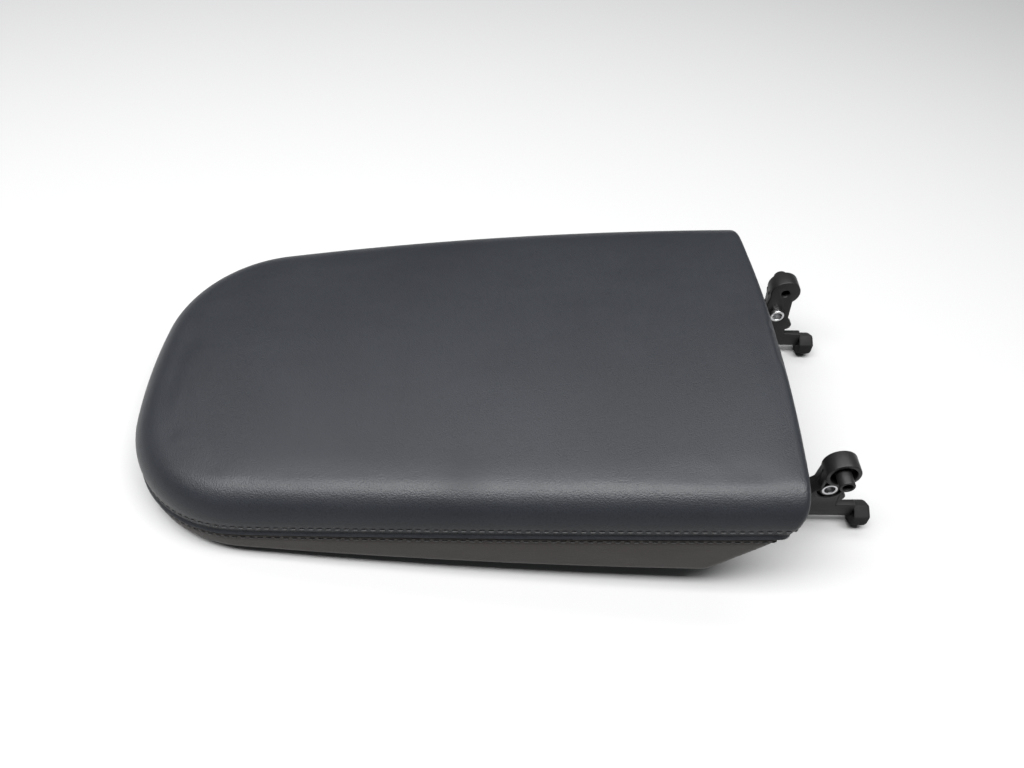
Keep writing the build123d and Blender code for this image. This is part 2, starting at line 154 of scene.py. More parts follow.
def apply_modifier(piece, kind, **settings):
    """Adds a modifier with these settings and applies it."""
    modifier = piece.modifiers.new(kind.title(), kind)
    for name, value in settings.items():
        setattr(modifier, name, value)
    make_active(piece)
    bpy.ops.object.modifier_apply(modifier=modifier.name)


def joined_copy(name, *nodes):
    """One new piece from copies of these nodes' meshes, with doubled points merged."""
    copies = []
    for node in nodes:
        piece = bpy.data.objects.new(name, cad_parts[node].data.copy())
        bpy.context.scene.collection.objects.link(piece)
        copies.append(piece)
    make_active(copies[0])
    for piece in copies:
        piece.select_set(True)
    if len(copies) > 1:
        bpy.ops.object.join()
    joined = bpy.context.view_layer.objects.active
    joined.data.materials.clear()
    mesh_edit(joined, lambda: bpy.ops.mesh.remove_doubles(threshold=MERGE_REACH))
    return joined


def rounded_copy(name, node, width, segments=2):
    """A copy of a rigid node with its sharp edges rounded."""
    piece = joined_copy(name, node)
    mesh_edit(piece, lambda: bpy.ops.mesh.dissolve_limited(angle_limit=math.radians(0.4)))
    apply_modifier(
        piece, "BEVEL", width=width, segments=segments, limit_method="ANGLE",
        angle_limit=SMOOTH_ANGLE, use_clamp_overlap=False, harden_normals=False,
    )
    make_active(piece)
    bpy.ops.object.shade_smooth_by_angle(angle=SMOOTH_ANGLE)
    return piece


def dress(piece, body, slot, material, *replaced):
    """Puts a finished piece on its body with its finish, in place of the nodes it stands for."""
    piece.data.materials.clear()
    piece.data.materials.append(material)
    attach(piece, body)
    if replaced:
        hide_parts(*replaced)
    return piece


def finish_node(node, material):
    """Gives a node that keeps its own shape a better finish."""
    for material_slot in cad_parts[node].material_slots:
        material_slot.material = material


# Shader helpers and shared effects

def set_or_link(tree, socket, value):
    """Links a socket to another one, or sets its value."""
    if isinstance(value, bpy.types.NodeSocket):
        tree.links.new(value, socket)
    else:
        socket.default_value = value


def add_node(tree, kind, **inputs):
    """A new shader node with some of its inputs set or linked."""
    made = tree.nodes.new(kind)
    for name, value in inputs.items():
        set_or_link(tree, made.inputs[name.replace("_", " ")], value)
    return made


def new_group(name, inputs, outputs):
    """An empty shader node group with float inputs and outputs, its end nodes placed."""
    tree = bpy.data.node_groups.new(name, "ShaderNodeTree")
    for label, default in inputs:
        tree.interface.new_socket(label, in_out="INPUT", socket_type="NodeSocketFloat").default_value = default
    for label in outputs:
        tree.interface.new_socket(label, in_out="OUTPUT", socket_type="NodeSocketFloat")
    return tree, tree.nodes.new("NodeGroupInput"), tree.nodes.new("NodeGroupOutput")


def math_node(tree, operation, first, second=0.0):
    """The result of one sum."""
    made = tree.nodes.new("ShaderNodeMath")
    made.operation = operation
    for socket, value in zip(made.inputs, (first, second)):
        set_or_link(tree, socket, value)
    return made.outputs[0]


def remap(tree, value, low, high, to_low, to_high):
    """A value carried from one range to another, held at its ends."""
    made = add_node(tree, "ShaderNodeMapRange", Value=value)
    for label, number in (("From Min", low), ("From Max", high), ("To Min", to_low), ("To Max", to_high)):
        made.inputs[label].default_value = number
    return made.outputs["Result"]


def object_place(tree):
    """Where a point is on the object."""
    return tree.nodes.new("ShaderNodeTexCoord").outputs["Object"]


def pebble_group():
    """Pebbled grain: rounded cells with fine pores between them."""
    name = "Pebble grain"
    if name in bpy.data.node_groups:
        return bpy.data.node_groups[name]
    tree, start, end = new_group(name, [("Cells per metre", 700.0), ("Pore share", 0.35)], ["Height", "Cell"])
    place = object_place(tree)
    warp = add_node(tree, "ShaderNodeTexNoise", Vector=place, Scale=600.0, Detail=2.0)
    shift = add_node(tree, "ShaderNodeVectorMath")
    shift.operation = "MULTIPLY_ADD"
    tree.links.new(warp.outputs["Color"], shift.inputs[0])
    shift.inputs[1].default_value = (0.0005, 0.0005, 0.0005)
    tree.links.new(place, shift.inputs[2])
    cells = tree.nodes.new("ShaderNodeTexVoronoi")
    cells.feature = "SMOOTH_F1"
    cells.inputs["Smoothness"].default_value = 0.35
    tree.links.new(shift.outputs[0], cells.inputs["Vector"])
    tree.links.new(start.outputs["Cells per metre"], cells.inputs["Scale"])
    fine = add_node(tree, "ShaderNodeTexNoise", Vector=place, Scale=4200.0, Detail=2.0)
    domes = math_node(tree, "SUBTRACT", 1.0, cells.outputs["Distance"])
    pores = math_node(tree, "MULTIPLY", fine.outputs["Fac"], start.outputs["Pore share"])
    tree.links.new(math_node(tree, "ADD", domes, pores), end.inputs["Height"])
    tree.links.new(cells.outputs["Distance"], end.inputs["Cell"])
    return tree


def cloud_group():
    """Broad uneven patches, for handling marks and faded areas."""
    name = "Handling clouds"
    if name in bpy.data.node_groups:
        return bpy.data.node_groups[name]
    tree, start, end = new_group(name, [("Clouds per metre", 14.0)], ["Patch", "Streak"])
    place = object_place(tree)
    patch = add_node(tree, "ShaderNodeTexNoise", Vector=place, Detail=4.0, Roughness=0.55)
    tree.links.new(start.outputs["Clouds per metre"], patch.inputs["Scale"])
    stretched = add_node(tree, "ShaderNodeMapping", Vector=place, Scale=(0.35, 1.0, 1.0))
    streak = add_node(tree, "ShaderNodeTexNoise", Vector=stretched.outputs[0], Scale=90.0, Detail=5.0)
    tree.links.new(remap(tree, patch.outputs["Fac"], 0.35, 0.68, 0.0, 1.0), end.inputs["Patch"])
    tree.links.new(remap(tree, streak.outputs["Fac"], 0.4, 0.7, 0.0, 1.0), end.inputs["Streak"])
    return tree


def dust_group():
    """Scattered pale specks of dust and lint."""
    name = "Dust specks"
    if name in bpy.data.node_groups:
        return bpy.data.node_groups[name]
    tree, start, end = new_group(name, [("Specks per metre", 60.0), ("Speck size", 0.02)], ["Mask"])
    place = object_place(tree)
    cells = add_node(tree, "ShaderNodeTexVoronoi", Vector=place)
    tree.links.new(start.outputs["Specks per metre"], cells.inputs["Scale"])
    near = math_node(tree, "LESS_THAN", cells.outputs["Distance"], start.outputs["Speck size"])
    chance = add_node(tree, "ShaderNodeSeparateColor", Color=cells.outputs["Color"])
    chosen = math_node(tree, "GREATER_THAN", chance.outputs[0], 0.55)
    tree.links.new(math_node(tree, "MULTIPLY", near, chosen), end.inputs["Mask"])
    return tree


def place_group(tree, group, **values):
    """A node group placed in a material with its own values."""
    made = tree.nodes.new("ShaderNodeGroup")
    made.node_tree = group
    for name, value in values.items():
        made.inputs[name.replace("_", " ")].default_value = value
    return made


def mixed_colour(tree, factor, first, second):
    """Two colours mixed by a mask."""
    made = tree.nodes.new("ShaderNodeMix")
    made.data_type = "RGBA"
    tree.links.new(factor, made.inputs[0])
    for socket, value in ((made.inputs[6], first), (made.inputs[7], second)):
        set_or_link(tree, socket, value if isinstance(value, bpy.types.NodeSocket) else (*value, 1.0))
    return made.outputs[2]


def new_finish(name, **constants):
    """A material with its surface shader, and constants set on the shader's own sockets."""
    material = bpy.data.materials.new(name)
    material.use_nodes = True
    tree = material.node_tree
    shader = tree.nodes["Principled BSDF"]
    for label, value in constants.items():
        shader.inputs[label.replace("_", " ")].default_value = value
    return material, tree, shader


def bump_normal(tree, shader, height, distance, strength):
    """Feeds a height into the shader's normal."""
    bump = add_node(tree, "ShaderNodeBump", Height=height, Distance=distance, Strength=strength)
    tree.links.new(bump.outputs["Normal"], shader.inputs["Normal"])


def scaled(colour, factor):
    """A colour made lighter or darker."""
    return tuple(min(1.0, part * factor) for part in colour)


# Finishes

def leatherette(name, colour, dust, settings):
    """Fine-grained satin leatherette with faint handling marks, one rubbed mark and some dust."""
    material, tree, shader = new_finish(name, Specular_IOR_Level=0.23)
    grain = place_group(tree, pebble_group(), Cells_per_metre=1500.0, Pore_share=0.5)
    clouds = place_group(tree, cloud_group(), Clouds_per_metre=13.0)
    patches = mixed_colour(tree, clouds.outputs["Patch"], scaled(colour, 0.9), scaled(colour, 1.1))
    away = tree.nodes.new("ShaderNodeVectorMath")
    away.operation = "DISTANCE"
    tree.links.new(object_place(tree), away.inputs[0])
    away.inputs[1].default_value = settings.mark_place
    mark = remap(tree, away.outputs["Value"], 0.2 * settings.mark_size, settings.mark_size, 1.0, 0.0)
    patches = mixed_colour(tree, mark, patches, scaled(colour, 0.8))
    pores = remap(tree, grain.outputs["Cell"], 0.45, 0.8, 0.0, 0.5)
    grained = mixed_colour(tree, pores, patches, scaled(colour, 0.55))
    specks = place_group(tree, dust_group(), Specks_per_metre=52.0, Speck_size=dust)
    dusty = mixed_colour(tree, specks.outputs["Mask"], grained, DUST_COLOUR)
    tree.links.new(dusty, shader.inputs["Base Color"])
    sheen = remap(tree, clouds.outputs["Streak"], 0.0, 1.0, 0.39, 0.43)
    dulled = math_node(tree, "MULTIPLY", mark, 0.16)
    tree.links.new(math_node(tree, "ADD", sheen, dulled), shader.inputs["Roughness"])
    bump_normal(tree, shader, grain.outputs["Height"], 0.00014, 0.6)
    return material


def moulded_plastic(name, colour, roughness, cells):
    """Satin moulded plastic with a fine spark-eroded texture and paler scuffs."""
    material, tree, shader = new_finish(name, Specular_IOR_Level=0.2)
    grain = place_group(tree, pebble_group(), Cells_per_metre=cells, Pore_share=0.6)
    clouds = place_group(tree, cloud_group(), Clouds_per_metre=40.0)
    tone = mixed_colour(tree, clouds.outputs["Patch"], scaled(colour, 0.85), scaled(colour, 1.35))
    tree.links.new(tone, shader.inputs["Base Color"])
    gloss = remap(tree, clouds.outputs["Streak"], 0.0, 1.0, roughness - 0.06, roughness + 0.08)
    tree.links.new(gloss, shader.inputs["Roughness"])
    bump_normal(tree, shader, grain.outputs["Height"], 0.00008, 0.35)
    return material


def moulded_rubber(name, colour):
    """Dull black rubber with a faint bloom."""
    material, tree, shader = new_finish(name, Specular_IOR_Level=0.12)
    clouds = place_group(tree, cloud_group(), Clouds_per_metre=120.0)
    bloom = mixed_colour(tree, clouds.outputs["Streak"], colour, scaled(colour, 1.7))
    tree.links.new(bloom, shader.inputs["Base Color"])
    tree.links.new(remap(tree, clouds.outputs["Patch"], 0.0, 1.0, 0.62, 0.78), shader.inputs["Roughness"])
    grain = place_group(tree, pebble_group(), Cells_per_metre=2200.0, Pore_share=0.8)
    bump_normal(tree, shader, grain.outputs["Height"], 0.00005, 0.3)
    return material


def plated_steel(name, colour):
    """Zinc-plated steel, slightly clouded."""
    material, tree, shader = new_finish(name, Metallic=1.0)
    clouds = place_group(tree, cloud_group(), Clouds_per_metre=300.0)
    tone = mixed_colour(tree, clouds.outputs["Patch"], scaled(colour, 0.75), colour)
    tree.links.new(tone, shader.inputs["Base Color"])
    tree.links.new(remap(tree, clouds.outputs["Streak"], 0.0, 1.0, 0.24, 0.4), shader.inputs["Roughness"])
    return material


def sewing_thread(name, colour):
    """Bonded polyester thread with a soft shine."""
    material, tree, shader = new_finish(name, Specular_IOR_Level=0.25, Sheen_Weight=0.05)
    strand = add_node(tree, "ShaderNodeTexNoise", Vector=object_place(tree), Scale=1800.0, Detail=2.0)
    tone = mixed_colour(tree, strand.outputs["Fac"], scaled(colour, 0.7), scaled(colour, 1.25))
    tree.links.new(tone, shader.inputs["Base Color"])
    shader.inputs["Roughness"].default_value = 0.5
    bump_normal(tree, shader, strand.outputs["Fac"], 0.00015, 0.5)
    return material


def open_foam(name, colour):
    """Cut polyurethane foam."""
    material, tree, shader = new_finish(name, Specular_IOR_Level=0.2, Roughness=0.9)
    cells = add_node(tree, "ShaderNodeTexVoronoi", Vector=object_place(tree), Scale=900.0)
    tone = mixed_colour(tree, cells.outputs["Distance"], scaled(colour, 1.1), scaled(colour, 0.6))
    tree.links.new(tone, shader.inputs["Base Color"])
    bump_normal(tree, shader, cells.outputs["Distance"], 0.0005, 0.6)
    return material


def stage_paper(name, colour):
    """Plain pale paper under the object."""
    material, tree, shader = new_finish(name, Specular_IOR_Level=0.1, Roughness=0.9)
    fibre = add_node(tree, "ShaderNodeTexNoise", Vector=object_place(tree), Scale=3.0, Detail=2.0)
    tone = mixed_colour(tree, fibre.outputs["Fac"], scaled(colour, 0.99), scaled(colour, 1.01))
    tree.links.new(tone, shader.inputs["Base Color"])
    return material


# Seam geometry

def seam_curve():
    """Height of the seam over x, read where the cover meets the band."""
    band = points_of(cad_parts["side_band"].data)
    tree = KDTree(len(band))
    for index, point in enumerate(band):
        tree.insert(point, index)
    tree.balance()
    cover = points_of(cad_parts["top_cover"].data)
    shared = np.array([point for point in cover if tree.find(point)[2] < 0.001 * MM])
    return np.polyfit(shared[:, 0], shared[:, 2], 2)


def above_seam(points, curve):
    """How far each point lies above the seam."""
    return points[:, 2] - np.polyval(curve, points[:, 0])


def bump_at(distance, centre, width):
    """A smooth hump of height one."""
    return np.exp(-(((distance - centre) / width) ** 2))


def ring_along(mesh, heights, level):
    """The closed ring of points at one level, in order, as indices."""
    chosen = set(np.nonzero(np.abs(heights - level) < MERGE_REACH)[0].tolist())
    beside = {index: [] for index in chosen}
    for edge in mesh.edges:
        first, second = edge.vertices
        if first in chosen and second in chosen:
            beside[first].append(second)
            beside[second].append(first)
    ring = [min(chosen)]
    seen = set(ring)
    while True:
        following = [index for index in beside[ring[-1]] if index not in seen]
        if not following:
            return ring
        ring.append(following[0])
        seen.add(following[0])


# Settings that a user would change

class UpholsterySettings(bpy.types.PropertyGroup):
    """Sizes and colours of the sewn cover."""
    voxel: bpy.props.FloatProperty(
        name="Mesh size", description="Spacing of the cover's mesh before it is refined",
        default=3.05 * MM, unit="LENGTH")
    pressure: bpy.props.FloatProperty(
        name="Pressure", description="How hard the foam pushes the cover outwards", default=4.0)
    swell: bpy.props.FloatProperty(
        name="Largest swell", description="How far the foam may push the cover out", default=0.9 * MM, unit="LENGTH")
    sheet: bpy.props.FloatProperty(
        name="Cover thickness", description="Thickness of the leatherette", default=1.1 * MM, unit="LENGTH")
    seam_depth: bpy.props.FloatProperty(
        name="Seam depth", description="Depth of the seam's groove", default=1.2 * MM, unit="LENGTH")
    upper_row: bpy.props.FloatProperty(
        name="Upper row", description="Height of the upper stitches above the seam", default=6.2 * MM, unit="LENGTH")
    lower_row: bpy.props.FloatProperty(
        name="Lower row", description="Depth of the lower stitches below the seam", default=2.3 * MM, unit="LENGTH")
    pitch: bpy.props.FloatProperty(
        name="Stitch pitch", description="Distance from stitch to stitch", default=4.2 * MM, unit="LENGTH")
    thread: bpy.props.FloatProperty(
        name="Thread radius", description="Radius of the sewing thread", default=0.42 * MM, unit="LENGTH")
    cover_colour: bpy.props.FloatVectorProperty(
        name="Cover", description="Colour of the top panel", subtype="COLOR", default=(0.0105, 0.0116, 0.0142))
    band_colour: bpy.props.FloatVectorProperty(
        name="Band", description="Colour of the side band", subtype="COLOR", default=(0.0175, 0.0128, 0.0098))
    # Both stitch rows are one thread; the upper row's colour is set darker than the lower row's to take out the light
    # it catches, which is painted shade
    upper_thread_painted_shade: bpy.props.FloatVectorProperty(
        name="Upper thread", description="Colour of the upper stitches", subtype="COLOR", default=(0.02, 0.02, 0.0215))
    lower_colour: bpy.props.FloatVectorProperty(
        name="Lower thread", description="Colour of the lower stitches", subtype="COLOR", default=(0.035, 0.034, 0.034))
    mark_place: bpy.props.FloatVectorProperty(
        name="Rubbed mark", description="Middle of the rubbed mark on the near edge", subtype="TRANSLATION",
        default=(-0.181, -0.077, 0.01))
    mark_size: bpy.props.FloatProperty(
        name="Mark size", description="Reach of the rubbed mark", default=17 * MM, unit="LENGTH")


class FittingSettings(bpy.types.PropertyGroup):
    """Finish of the arms, catch, screws and underside."""
    moulded_edge: bpy.props.FloatProperty(
        name="Moulded edge", description="Rounding of moulded edges", default=0.5 * MM, unit="LENGTH")
    rubber_edge: bpy.props.FloatProperty(
        name="Rubber edge", description="Rounding of the rubber stops", default=0.9 * MM, unit="LENGTH")
    metal_edge: bpy.props.FloatProperty(
        name="Metal edge", description="Rounding of metal edges", default=0.25 * MM, unit="LENGTH")
    spring_wire: bpy.props.FloatProperty(
        name="Spring wire", description="Length of coil that stays with each leg", default=1.0 * MM, unit="LENGTH")
    spring_share: bpy.props.FloatProperty(
        name="Spring detail", description="Share of the spring's faces that is kept", default=0.2, subtype="FACTOR")
    plastic_colour: bpy.props.FloatVectorProperty(
        name="Arms", description="Colour of the arms and lever", subtype="COLOR", default=(0.0068, 0.0066, 0.0066))
    liner_colour: bpy.props.FloatVectorProperty(
        name="Liner", description="Colour of the closing panel", subtype="COLOR", default=(0.03, 0.03, 0.032))
    rubber_colour: bpy.props.FloatVectorProperty(
        name="Rubber", description="Colour of stops and buffers", subtype="COLOR", default=(0.0065, 0.0065, 0.0065))
    steel_colour: bpy.props.FloatVectorProperty(
        name="Steel", description="Colour of the plated steel", subtype="COLOR", default=(0.6, 0.6, 0.61))
    foam_colour: bpy.props.FloatVectorProperty(
        name="Foam", description="Colour of the foam", subtype="COLOR", default=(0.4, 0.37, 0.3))


class StageSettings(bpy.types.PropertyGroup):
    """Floor, light and camera."""
    floor_size: bpy.props.FloatProperty(
        name="Floor", description="Side of the floor", default=12.0, unit="LENGTH")
    floor_colour: bpy.props.FloatVectorProperty(
        name="Floor colour", description="Colour of the floor", subtype="COLOR", default=(0.3, 0.3, 0.3))
    key_power: bpy.props.FloatProperty(
        name="Overhead light", description="Power of the overhead soft light", default=44.0, unit="POWER")
    back_power: bpy.props.FloatProperty(
        name="Back light", description="Power of the soft light behind", default=11.0, unit="POWER")
    light_height: bpy.props.FloatProperty(
        name="Light height", description="Height of the soft lights above the part", default=0.95, unit="LENGTH")
    light_forward: bpy.props.FloatProperty(
        name="Light forward", description="Shift of the soft lights along the part", default=-0.04, unit="LENGTH")
    key_behind: bpy.props.FloatProperty(
        name="Overhead place", description="Place of the overhead light across the part", default=-0.2, unit="LENGTH")
    back_behind: bpy.props.FloatProperty(
        name="Back light place", description="Place of the light behind across the part", default=0.42, unit="LENGTH")
    light_length: bpy.props.FloatProperty(
        name="Light length", description="Length of the soft lights", default=1.7, unit="LENGTH")
    light_width: bpy.props.FloatProperty(
        name="Light width", description="Width of the soft lights", default=0.36, unit="LENGTH")
    sky: bpy.props.FloatProperty(
        name="Sky", description="Strength of the light from all round", default=0.15)
    camera_place: bpy.props.FloatVectorProperty(
        name="Camera", description="Place of the camera", subtype="TRANSLATION",
        default=(-0.16859, -0.30357, 0.33061))
    camera_target: bpy.props.FloatVectorProperty(
        name="Target", description="Point that the camera looks at", subtype="TRANSLATION",
        default=(-0.158765, -0.010629, -0.002))
    camera_roll: bpy.props.FloatProperty(
        name="Roll", description="Turn of the camera about its line of sight", subtype="ANGLE",
        default=math.radians(2.141))
    camera_lens: bpy.props.FloatProperty(
        name="Lens", description="Focal length on a 36 mm sensor", default=29.88)


# Padded cover

def lid_body(settings):
    """The whole lid as one evenly meshed skin."""
    skin = joined_copy("lid_skin", "top_cover", "side_band", "foam_pad", "lid_shell", "liner_panel")
    skin.data.remesh_voxel_size = settings.voxel
    make_active(skin)
    bpy.ops.object.voxel_remesh()
    keep_largest_shell(skin.data)
    apply_modifier(skin, "SMOOTH", factor=0.5, iterations=5)
    return skin


def keep_largest_shell(mesh):
    """Deletes all shells of a mesh but the one with the most faces."""
    whole = bmesh.new()
    whole.from_mesh(mesh)
    shells = linked_parts(whole.faces, lambda face: [other for edge in face.edges for other in edge.link_faces])
    shells.sort(key=len)
    spare = [face for shell in shells[:-1] for face in shell]
    bmesh.ops.delete(whole, geom=spare, context="FACES")
    whole.to_mesh(mesh)
    whole.free()


def spread(mesh, values, rounds):
    """Evens values out over a mesh, each point taking in the mean of its neighbours."""
    first, second = edge_ends(mesh)
    count = np.bincount(np.concatenate([first, second]), minlength=len(values))
    for _ in range(rounds):
        total = np.zeros_like(values)
        np.add.at(total, first, values[second])
        np.add.at(total, second, values[first])
        values = (values + total / np.maximum(count, 1).reshape(-1, *[1] * (values.ndim - 1))) / 2
    return values


def swell_by_foam(skin, settings, curve):
    """How far the foam pushes the cover out between seam and rim, by a short cloth simulation."""
    before, normals = points_of(skin.data), normals_of(skin.data)
    seam_hold, rim_hold = 2.5 * MM, 3 * MM
    held = np.abs(above_seam(before, curve)) < seam_hold
    held |= before[:, 2] < before[:, 2].min() + rim_hold
    group = skin.vertex_groups.new(name="held")
    group.add(np.nonzero(held)[0].tolist(), 1.0, "REPLACE")
    cloth = skin.modifiers.new("Cloth", "CLOTH")
    cloth.settings.quality = 5
    cloth.settings.use_pressure = True
    cloth.settings.uniform_pressure_force = settings.pressure
    cloth.settings.effector_weights.gravity = 0.0
    cloth.settings.vertex_group_mass = group.name
    last_frame = 20
    cloth.point_cache.frame_end = last_frame
    for step in range(1, last_frame + 1):
        bpy.context.scene.frame_set(step)
    make_active(skin)
    bpy.ops.object.modifier_apply(modifier=cloth.name)
    bpy.context.scene.frame_set(1)
    rise = np.clip(((points_of(skin.data) - before) * normals).sum(axis=1), 0.0, settings.swell)
    set_points(skin.data, before)
    skin.vertex_groups.clear()
    return spread(skin.data, rise, 8)


def refine(skin, rise):
    """Subdivides the skin, draws it to the solids' outer surface and lets it stand out by its rise."""
    skin.data.attributes.new("rise", "FLOAT", "POINT").data.foreach_set("value", rise)
    apply_modifier(skin, "SUBSURF", levels=1, render_levels=1)
    fine_rise = np.zeros(len(skin.data.vertices))
    skin.data.attributes["rise"].data.foreach_get("value", fine_rise)
    skin.data.attributes.remove(skin.data.attributes["rise"])
    outside = joined_copy("outside_form", "top_cover", "side_band")
    tree = BVHTree.FromObject(outside, bpy.context.evaluated_depsgraph_get())
    bpy.data.objects.remove(outside)
    reach = 5 * MM
    for rounds in (2, 1, 1):
        points, normals = points_of(skin.data), normals_of(skin.data)
        shift = np.zeros_like(points)
        for index, (point, normal) in enumerate(zip(points, normals)):
            place, facing, _, _ = tree.find_nearest(Vector(point), reach)
            if place is not None and facing.dot(Vector(normal)) > 0.3:
                shift[index] = np.array(place) - point
        set_points(skin.data, points + spread(skin.data, shift, rounds))
    normals = normals_of(skin.data)
    set_points(skin.data, points_of(skin.data) + normals * fine_rise[:, None])


def seam_levels(settings):
    """Levels above the seam where the cover gets an edge of its own."""
    steps = (-3.4, -1.3, -0.6, 0.0, 0.5, 1.0, 1.7, 2.4, 2.9, 3.4, 4.0, 4.8, 7.4)
    return sorted([*(step * MM for step in steps), settings.upper_row, -settings.lower_row])


def cut_levels(skin, levels, curve):
    """Adds an edge ring to the skin at each level, by straightening the seam for the cuts."""
    points = points_of(skin.data)
    points[:, 2] = above_seam(points, curve)
    set_points(skin.data, points)
    for level in levels:
        mesh_edit(skin, lambda: bpy.ops.mesh.bisect(plane_co=(0, 0, level), plane_no=(0, 0, 1), threshold=CUT_REACH))
    points = points_of(skin.data)
    for level in levels:
        points[np.abs(points[:, 2] - level) < 1.1 * CUT_REACH, 2] = level
    points[:, 2] += np.polyval(curve, points[:, 0])
    set_points(skin.data, points)


def press_seam(skin, settings, curve):
    """Presses the seam's groove, its narrow welt and the two stitched lines into the skin."""
    points, normals = points_of(skin.data), normals_of(skin.data)
    level = above_seam(points, curve)
    depth = settings.seam_depth
    shift = -depth * bump_at(level, 0, 0.75 * MM)
    shift += 0.7 * depth * bump_at(level, 1.7 * MM, 0.8 * MM)
    shift -= 0.45 * depth * bump_at(level, 3.4 * MM, 0.7 * MM)
    shift -= 0.25 * depth * bump_at(level, settings.upper_row, 1.6 * MM)
    shift -= 0.3 * depth * bump_at(level, -settings.lower_row, 0.9 * MM)
    set_points(skin.data, points + normals * shift[:, None])
    return level


def cut_panel(name, skin, keep):
    """A copy of the skin with only the faces whose points are all kept."""
    panel = bpy.data.objects.new(name, skin.data.copy())
    bpy.context.scene.collection.objects.link(panel)
    cut = bmesh.new()
    cut.from_mesh(panel.data)
    cut.faces.ensure_lookup_table()
    spare = [face for face in cut.faces if not all(keep[vertex.index] for vertex in face.verts)]
    bmesh.ops.delete(cut, geom=spare, context="FACES")
    cut.to_mesh(panel.data)
    cut.free()
    keep_largest_shell(panel.data)
    return panel


def turn_hem(skin):
    """Turns the hem's edge up along the closing panel, and marks the points that show outside it."""
    panel = BVHTree.FromObject(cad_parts["liner_panel"], bpy.context.evaluated_depsgraph_get())
    low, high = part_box("liner_panel")
    margin, ray_start, ray_length = 3 * MM, 20 * MM, 60 * MM
    half_thickness, gap, turn_up = 1.2 * MM, 0.12 * MM, 1.8 * MM
    points = points_of(skin.data)
    inner = np.zeros(len(points), bool)
    for index in np.nonzero(points[:, 2] < high.z + margin)[0]:
        below = Vector((points[index][0], points[index][1], low.z - ray_start))
        inner[index] = panel.ray_cast(below, Vector((0, 0, 1)), ray_length)[0] is not None
    first, second = edge_ends(skin.data)
    crossing = inner[first] != inner[second]
    border = np.zeros(len(points), bool)
    border[first[crossing]] = border[second[crossing]] = True
    for index in np.nonzero(border)[0]:
        place = Vector((points[index][0], points[index][1], low.z + half_thickness))
        wall = panel.find_nearest(place)[0]
        outward = (wall - place if inner[index] else place - wall).normalized()
        points[index][:2] = (wall + outward * gap)[:2]
        points[index][2] = low.z + (turn_up if inner[index] else 0.0)
    set_points(skin.data, points)
    return ~inner | border


class ARMREST_OT_cover(bpy.types.Operator):
    """Builds the padded cover: top panel and side band, sewn together along the seam"""
    bl_idname = "armrest.cover"
    bl_label = "Sewn cover"

    def execute(self, context):
        settings = context.scene.armrest_upholstery
        curve = seam_curve()
        skin = lid_body(settings)
        rise = np.zeros(len(skin.data.vertices))
        rise = swell_by_foam(skin, settings, curve)
        refine(skin, rise)
        cut_levels(skin, seam_levels(settings), curve)
        level = press_seam(skin, settings, curve)
        shown = turn_hem(skin)
        edge = 0.003 * MM
        cover = cut_panel("top_panel", skin, (level > -edge) & shown)
        band = cut_panel("side_panel", skin, (level < edge) & shown)
        points, normals = points_of(skin.data), normals_of(skin.data)
        # The upper row's thread colour is darkened as painted shade against the lower row's
        for name, row, colour in (
            ("upper_stitches", settings.upper_row, tuple(settings.upper_thread_painted_shade)),
            ("lower_stitches", -settings.lower_row, tuple(settings.lower_colour)),
        ):
            ring = ring_along(skin.data, level, row)
            stitches = stitch_row(name, points[ring], normals[ring], settings)
            dress(stitches, LID_BODY, "cover_leather", sewing_thread(f"{name} thread", colour))
        bpy.data.objects.remove(skin)
        finishes = (
            (cover, "top_cover", leatherette("Cover leatherette", settings.cover_colour, 0.012, settings)),
            (band, "side_band", leatherette("Band leatherette", settings.band_colour, 0.008, settings)),
        )
        for panel, node, finish in finishes:
            apply_modifier(panel, "SOLIDIFY", thickness=settings.sheet, offset=-1.0)
            make_active(panel)
            bpy.ops.object.shade_smooth()
            dress(panel, LID_BODY, "cover_leather", finish, node)
        return {"FINISHED"}


def one_stitch(settings):
    """A single stitch lying along x, arched so that its ends dive into the cover."""
    length = 0.74 * settings.pitch
    bpy.ops.object.select_all(action="DESELECT")
    bpy.ops.mesh.primitive_cylinder_add(
        vertices=6, radius=settings.thread, depth=length, end_fill_type="TRIFAN", rotation=(0, math.radians(90), 0)
    )
    stitch = bpy.context.view_layer.objects.active
    bpy.ops.object.transform_apply(rotation=True)
    bpy.ops.object.mode_set(mode="EDIT")
    for share in (-0.36, -0.18, 0.0, 0.18, 0.36):
        bpy.ops.mesh.select_all(action="SELECT")
        bpy.ops.mesh.bisect(plane_co=(share * length, 0, 0), plane_no=(1, 0, 0))
    bpy.ops.object.mode_set(mode="OBJECT")
    points = points_of(stitch.data)
    along = np.abs(points[:, 0]) / (length / 2)
    points[:, 1:] *= (1.0 - 0.35 * along**3)[:, None]
    points[:, 2] += settings.thread * (0.75 - 1.5 * along**4)
    set_points(stitch.data, points)
    return stitch


